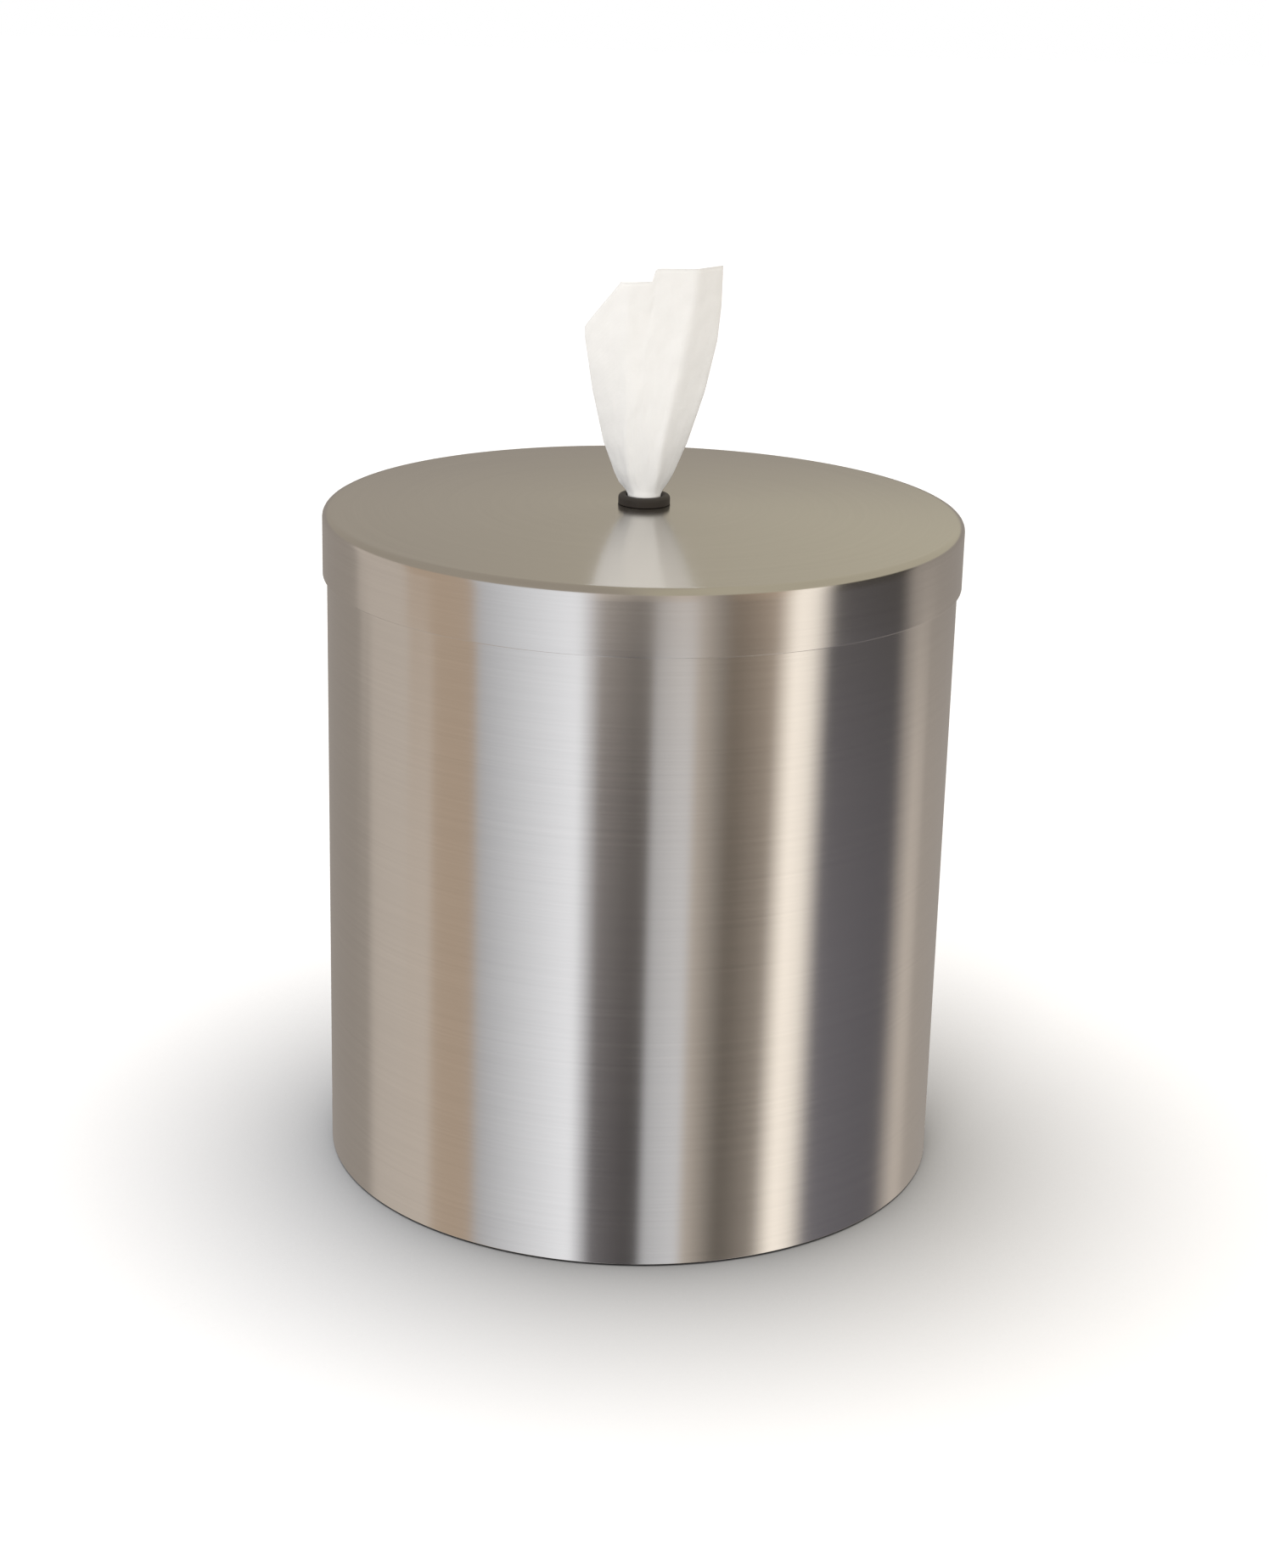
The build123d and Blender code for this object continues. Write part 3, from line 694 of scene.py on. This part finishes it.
def gathered(across, radius):
    """The same point where the web is gathered in the grommet: smooth in front, pleated behind."""
    front_start, front_end = FOLD_SHARES[1], FOLD_SHARES[4]
    if across < front_start:
        share = across / front_start
        angle = -radians(25 + 130 * share)
        reach = 0.5 + 0.30 * cos(share * 4 * tau)
    elif across <= front_end:
        share = (across - front_start) / (front_end - front_start)
        angle = pi + pi * share
        reach = 1.0
    else:
        share = (across - front_end) / (1 - front_end)
        angle = pi * share
        reach = 0.58 + 0.40 * cos(share * HIDDEN_PLEATS * tau)
    return Vector((cos(angle), sin(angle))) * reach * radius


def pleated(across, radius, pleats):
    """A closed rosette of pleats, for the strand under the perforation."""
    angle = across * tau
    reach = 0.58 + 0.41 * cos(across * pleats * tau)
    return Vector((cos(angle), sin(angle))) * reach * radius


class CANISTER_OT_napkins(bpy.types.Operator):
    """The napkin that stands out of the lid and the next one, gathered to a strand under it"""
    bl_idname = "canister.napkins"
    bl_label = "Napkins"

    def execute(self, context):
        size = sizes()
        edge_top = LID_MIDDLE - size.lid_crown
        strand = STRAND_RADIUS - STRAND_FIT

        def lead_place(across, along):
            top_x = folded(across, TORN_LEVEL).x
            front = FOLD_SHARES[1] <= across <= FOLD_SHARES[4]
            torn = between(TORN_EDGE, top_x)
            if not front:
                torn -= 1.6 + 2.2 * noise.noise(Vector((across * 9, 0.3, 0.8))) ** 2 + 1.5 * across
            if along <= TAIL_SHARE:
                share = along / TAIL_SHARE
                height = LEAD_BOTTOM + (GROMMET_TOP - LEAD_BOTTOM) * share
                level = (height - edge_top) / MM
            else:
                share = (along - TAIL_SHARE) / (1 - TAIL_SHARE)
                start = (GROMMET_TOP - edge_top) / MM
                level = start + (torn - start) * share
                height = edge_top + level * MM
            open_share = smooth((level - OPENING[0]) / OPENING[1])
            spread = 0.0045
            flat = sum((folded(across + shift * spread, level) for shift in (-1.5, -0.5, 0.5, 1.5)),
                       Vector((0, 0))) / 4
            flat = flat * MM
            twist = STRAND_TWIST * smooth((GROMMET_BOTTOM - height) / 0.08)
            bundle = turned_by(gathered(across, strand), twist)
            spot = bundle.lerp(flat, open_share)
            crinkle = noise.noise(Vector((across * 26, along * 11, 1.7)))
            crinkle += 0.5 * noise.noise(Vector((across * 60, along * 30, 4.1)))
            return Vector((spot.x, spot.y + CRINKLE * crinkle * open_share, height))

        tissue = embossed_tissue("embossed tissue, napkins", colours().tissue)
        lead = finished(
            sheet_mesh(220, 96, lead_place), "pulled_napkin", "napkin", tissue,
            ["lead_napkin"], weighted=False)
        thickened(lead, size.paper_thickness)

        def next_place(across, along):
            height = STRAND_BOTTOM + 0.3 * MM + (STRAND_TOP - STRAND_BOTTOM - 0.4 * MM) * along
            twist = STRAND_TWIST + tau * 1.1 * (1 - along)
            narrow = 1 - 0.12 * (0.5 + 0.5 * noise.noise(Vector((along * 9, 0.4, 2.0))))
            spot = turned_by(pleated(across * 0.995, strand, NEXT_PLEATS), twist) * narrow
            return Vector((spot.x, spot.y, height))

        following = finished(
            sheet_mesh(204, 60, next_place), "next_strand", "napkin", tissue,
            ["next_napkin"], weighted=False)
        thickened(following, size.paper_thickness)
        return {"FINISHED"}


# ---- studio ----
COOL = "#F2F6FF"
PALE = "#FFF4EA"
LAMP = "#FFF8F0"
TAN = "#FFE7D0"
SLATE = "#F3F0FF"

# What stands around the object, by azimuth from the front in degrees, right positive: where
# a panel starts and ends, how bright it is at its start and its end, and the colour of its light
LEFT_LOW = [
    (-180, -115, 0.2, 0.25, PALE),       # dim rear wall
    (-115, -80, 0.4, 0.45, PALE),        # bounce board
    (-80, -60, 0.35, 0.35, TAN),         # tan drape
    (-60, -20, 0.4, 0.85, COOL),         # large soft box, falling off towards the rear
    (-15, 0, 0.1, 0.05, SLATE),          # black flag
]
RIGHT_LOW = [
    (0, 5, 0.05, 0.05, SLATE),           # the same flag
    (5, 20, 0.45, 0.6, COOL),            # narrow cool strip
    (20, 35, 0.4, 0.1, PALE),            # side wall, dark in its middle
    (35, 50, 0.1, 0.2, PALE),
    (55, 65, 0.95, 0.8, LAMP),           # warm strip light
    (70, 110, 0.15, 0.1, SLATE),         # slate screen
    (120, 130, 0.45, 0.4, PALE),         # lit edge of the rear wall
    (130, 180, 0.3, 0.2, PALE),
]
# The same studio higher up, above the flag and the cool strip
LEFT_HIGH = [
    (-180, -120, 0.2, 0.25, PALE),
    (-120, -90, 0.4, 0.4, PALE),
    (-90, -60, 0.35, 0.35, TAN),
    (-60, -20, 0.45, 0.8, COOL),
    (-15, 0, 0.4, 0.25, PALE),
]
RIGHT_HIGH = [
    (0, 15, 0.25, 0.45, PALE),
    (15, 30, 0.45, 0.2, PALE),
    (30, 50, 0.2, 0.35, TAN),
    (55, 65, 0.9, 0.8, LAMP),
    (70, 105, 0.05, 0.05, PALE),
    (110, 180, 0.25, 0.2, PALE),
]
PANEL_EDGE = 1.5         # half the soft edge where two panels meet, in degrees
UPPER_LEFT = "#8C867D"
UPPER_RIGHT = "#A09B8C"
STEEL_GAIN = 1.65        # the steel returns about six tenths of what it mirrors
CAMERA_PLACE = (0.0, -1.0566, 0.4948)
CAMERA_ANGLES = (0.3192, -0.0009, 0.0249)        # pitch down, pan and roll, in radians
CAMERA_LENS = 66.08
CAMERA_SENSOR = 36.0
FLOOR_HALF = 6.0
CORNER_SHADE = 0.15      # how far the shade painted into the floor round the drum's foot reaches, in metres
PLAIN_LIGHT = 1.19
PLAIN_LEAN = (-0.22, 0.45, 0.0)      # the plain light is stronger from behind and from the left


def panel_ramp(tree, share, panels, start):
    """A colour ramp over half a turn that holds the studio's panels, soft where they meet."""
    ramp = add_node(tree, "ShaderNodeValToRGB", {"Fac": share})
    stops = ramp.color_ramp.elements
    marks = []
    for first, last, first_level, last_level, tint in panels:
        marks.append((first + PANEL_EDGE, first_level, tint))
        marks.append((last - PANEL_EDGE, last_level, tint))
    for index, (azimuth, level, tint) in enumerate(marks):
        position = (azimuth - start) / 180
        stop = stops[0] if index == 0 else stops.new(position)
        if index == 0:
            stop.position = position
            stops.remove(stops[1])
        stop.color = hex_colour(tint, level)
    return ramp.outputs["Color"]


def panel_ring(tree, turn, left_panels, right_panels):
    """The studio's panels all round, from a left and a right half turn."""
    left_share = add_node(
        tree, "ShaderNodeMapRange", {"Value": turn, "From Min": -pi, "From Max": 0.0}).outputs[0]
    right_share = add_node(
        tree, "ShaderNodeMapRange", {"Value": turn, "From Min": 0.0, "From Max": pi}).outputs[0]
    left = panel_ramp(tree, left_share, left_panels, -180)
    right = panel_ramp(tree, right_share, right_panels, 0)
    side = add_node(tree, "ShaderNodeMath", {0: turn, 1: 0.0}, operation="GREATER_THAN").outputs[0]
    return add_node(tree, "ShaderNodeMix", {"Factor": side, 6: left, 7: right}, data_type="RGBA").outputs[2]


def studio_world():
    """Plain light for matt surfaces, and the studio's panels for what mirrors them."""
    world = bpy.data.worlds.new("studio")
    world.use_nodes = True
    world.cycles.sampling_method = "NONE"
    tree = world.node_tree
    tree.nodes.clear()
    way = add_node(tree, "ShaderNodeTexCoord").outputs["Generated"]
    parts = add_node(tree, "ShaderNodeSeparateXYZ", {0: way}).outputs
    toward = add_node(tree, "ShaderNodeMath", {0: parts["Y"], 1: -1.0}, operation="MULTIPLY").outputs[0]
    turn = add_node(tree, "ShaderNodeMath", {0: parts["X"], 1: toward}, operation="ARCTAN2").outputs[0]
    low = panel_ring(tree, turn, LEFT_LOW, RIGHT_LOW)
    high = panel_ring(tree, turn, LEFT_HIGH, RIGHT_HIGH)
    raised = add_node(
        tree, "ShaderNodeMapRange",
        {"Value": parts["Z"], "From Min": -0.276, "From Max": -0.262}, interpolation_type="SMOOTHSTEP")
    panels = add_node(
        tree, "ShaderNodeMix", {"Factor": raised.outputs[0], 6: low, 7: high}, data_type="RGBA")
    sideways = add_node(
        tree, "ShaderNodeMapRange",
        {"Value": parts["X"], "From Min": -0.15, "From Max": 0.15}, interpolation_type="SMOOTHSTEP")
    upper = add_node(
        tree, "ShaderNodeMix",
        {"Factor": sideways.outputs[0], 6: hex_colour(UPPER_LEFT), 7: hex_colour(UPPER_RIGHT)},
        data_type="RGBA")
    above = add_node(
        tree, "ShaderNodeMapRange",
        {"Value": parts["Z"], "From Min": 0.10, "From Max": 0.23}, interpolation_type="SMOOTHSTEP")
    mirrored = add_node(
        tree, "ShaderNodeMix",
        {"Factor": above.outputs[0], 6: panels.outputs[2], 7: upper.outputs[2]}, data_type="RGBA")
    path = add_node(tree, "ShaderNodeLightPath").outputs
    # What the steel throws back on to matt surfaces is left out, as a soft studio drowns it.
    first = add_node(
        tree, "ShaderNodeMath", {0: path["Diffuse Depth"], 1: 0.5}, operation="LESS_THAN").outputs[0]
    gain = add_node(tree, "ShaderNodeMath", {0: first, 1: STEEL_GAIN}, operation="MULTIPLY").outputs[0]
    panel_light = add_node(
        tree, "ShaderNodeBackground", {"Color": mirrored.outputs[2], "Strength": gain})
    lean = add_node(
        tree, "ShaderNodeVectorMath", {0: way, 1: PLAIN_LEAN}, operation="DOT_PRODUCT").outputs["Value"]
    strength = add_node(
        tree, "ShaderNodeMath", {0: lean, 1: PLAIN_LIGHT, 2: PLAIN_LIGHT}, operation="MULTIPLY_ADD")
    plain_tint = add_node(
        tree, "ShaderNodeMix",
        {"Factor": sideways.outputs[0], 6: hex_colour("#FDFDFF"), 7: hex_colour("#FFF9F0")},
        data_type="RGBA")
    plain_light = add_node(
        tree, "ShaderNodeBackground", {"Color": plain_tint.outputs[2], "Strength": strength.outputs[0]})
    backdrop = add_node(
        tree, "ShaderNodeBackground", {"Color": hex_colour("#FFFFFF"), "Strength": 1.0})
    unseen = add_node(
        tree, "ShaderNodeMixShader",
        {0: path["Is Glossy Ray"], 1: plain_light.outputs[0], 2: panel_light.outputs[0]})
    shown = add_node(
        tree, "ShaderNodeMixShader",
        {0: path["Is Camera Ray"], 1: unseen.outputs[0], 2: backdrop.outputs[0]})
    add_node(tree, "ShaderNodeOutputWorld", {"Surface": shown.outputs[0]})
    return world


def set_lamp(scene, name, data, place, aim):
    """Puts a lamp in its place, turned to its aim and not mirrored by the steel."""
    lamp = bpy.data.objects.new(name, data)
    lamp.location = place
    lamp.rotation_euler = (Vector(aim) - lamp.location).to_track_quat("-Z", "Y").to_euler()
    lamp.visible_glossy = False
    scene.collection.objects.link(lamp)


class CANISTER_OT_stage(bpy.types.Operator):
    """Pale floor with shade painted round the drum's foot, soft studio light and the camera"""
    bl_idname = "canister.stage"
    bl_label = "Stage"

    def execute(self, context):
        scene = context.scene
        scene.view_settings.view_transform = "Standard"
        scene.world = studio_world()

        mesh = bmesh.new()
        bmesh.ops.create_grid(mesh, x_segments=1, y_segments=1, size=FLOOR_HALF)
        data = bpy.data.meshes.new("floor")
        mesh.to_mesh(data)
        mesh.free()
        floor = bpy.data.objects.new("floor", data)
        scene.collection.objects.link(floor)
        paint, tree, shader, place = new_material("matt paint, floor", Roughness=1.0)
        shader.inputs["Specular IOR Level"].default_value = 0.0
        cloudy = add_node(tree, "ShaderNodeTexNoise", {"Vector": place, "Scale": 2.0})
        plain = tinted(tree, cloudy.outputs["Fac"], hex_colour("#FDFDFD"), 0.004)
        # Painted shade: ambient occlusion darkens the floor's colour towards black where the drum stands on
        # it.
        corner = add_node(tree, "ShaderNodeAmbientOcclusion", {"Distance": CORNER_SHADE}, samples=16)
        painted_contact_shade = add_node(
            tree, "ShaderNodeMix", {"Factor": corner.outputs["AO"], 6: (0.0, 0.0, 0.0, 1.0), 7: plain},
            data_type="RGBA")
        tree.links.new(painted_contact_shade.outputs[2], shader.inputs["Base Color"])
        data.materials.append(paint)
        floor.visible_glossy = False

        key = bpy.data.lights.new("soft key", "AREA")
        key.shape = "DISK"
        key.size = 0.5
        key.energy = 7.0
        set_lamp(scene, "soft key", key, (-0.35, -1.5, 0.50), (0, 0, 0.30))
        fill = bpy.data.lights.new("napkin fill", "SPOT")
        fill.spot_size = radians(5.2)
        fill.spot_blend = 1.0
        fill.shadow_soft_size = 0.06
        fill.energy = 44.0
        set_lamp(scene, "napkin fill", fill, (0.40, -1.2, 0.45), (0.001, 0, 0.261))

        camera_data = bpy.data.cameras.new("camera")
        camera_data.lens = CAMERA_LENS
        camera_data.sensor_width = CAMERA_SENSOR
        camera_data.clip_end = 20.0
        camera = bpy.data.objects.new("camera", camera_data)
        pitch, pan, roll = CAMERA_ANGLES
        ahead = Vector((sin(pan) * cos(pitch), cos(pan) * cos(pitch), -sin(pitch)))
        camera.location = CAMERA_PLACE
        camera.rotation_mode = "QUATERNION"
        camera.rotation_quaternion = ahead.to_track_quat("-Z", "Y") @ Quaternion((0, 0, 1), roll)
        scene.collection.objects.link(camera)
        scene.camera = camera
        return {"FINISHED"}


BUILD_ORDER = (
    CANISTER_OT_drum, CANISTER_OT_base, CANISTER_OT_tray, CANISTER_OT_roll, CANISTER_OT_lid,
    CANISTER_OT_grommet, CANISTER_OT_napkins, CANISTER_OT_stage,
)


class CANISTER_PT_build(bpy.types.Panel):
    """Lists the pieces' operators with their sizes and colours"""
    bl_idname = "CANISTER_PT_build"
    bl_label = "Napkin canister"
    bl_space_type = "VIEW_3D"
    bl_region_type = "UI"
    bl_category = "Napkin canister"

    def draw(self, context):
        column = self.layout.column(align=True)
        for operator in BUILD_ORDER:
            column.operator(operator.bl_idname)
        for group in (context.scene.canister_sizes, context.scene.canister_colours):
            for name in group.__annotations__:
                self.layout.prop(group, name)


CLASSES = (CanisterSizes, CanisterColours, *BUILD_ORDER, CANISTER_PT_build)


def register():
    """Adds the settings, the operators and the panel to Blender."""
    for item in CLASSES:
        bpy.utils.register_class(item)
    bpy.types.Scene.canister_sizes = bpy.props.PointerProperty(type=CanisterSizes)
    bpy.types.Scene.canister_colours = bpy.props.PointerProperty(type=CanisterColours)


def unregister():
    """Takes the settings, the operators and the panel out of Blender again."""
    del bpy.types.Scene.canister_colours
    del bpy.types.Scene.canister_sizes
    for item in reversed(CLASSES):
        bpy.utils.unregister_class(item)


def main():
    """Builds every piece and the studio."""
    register()
    for operator in BUILD_ORDER:
        group, name = operator.bl_idname.split(".")
        getattr(getattr(bpy.ops, group), name)()


if __name__ == "__main__":
    main()
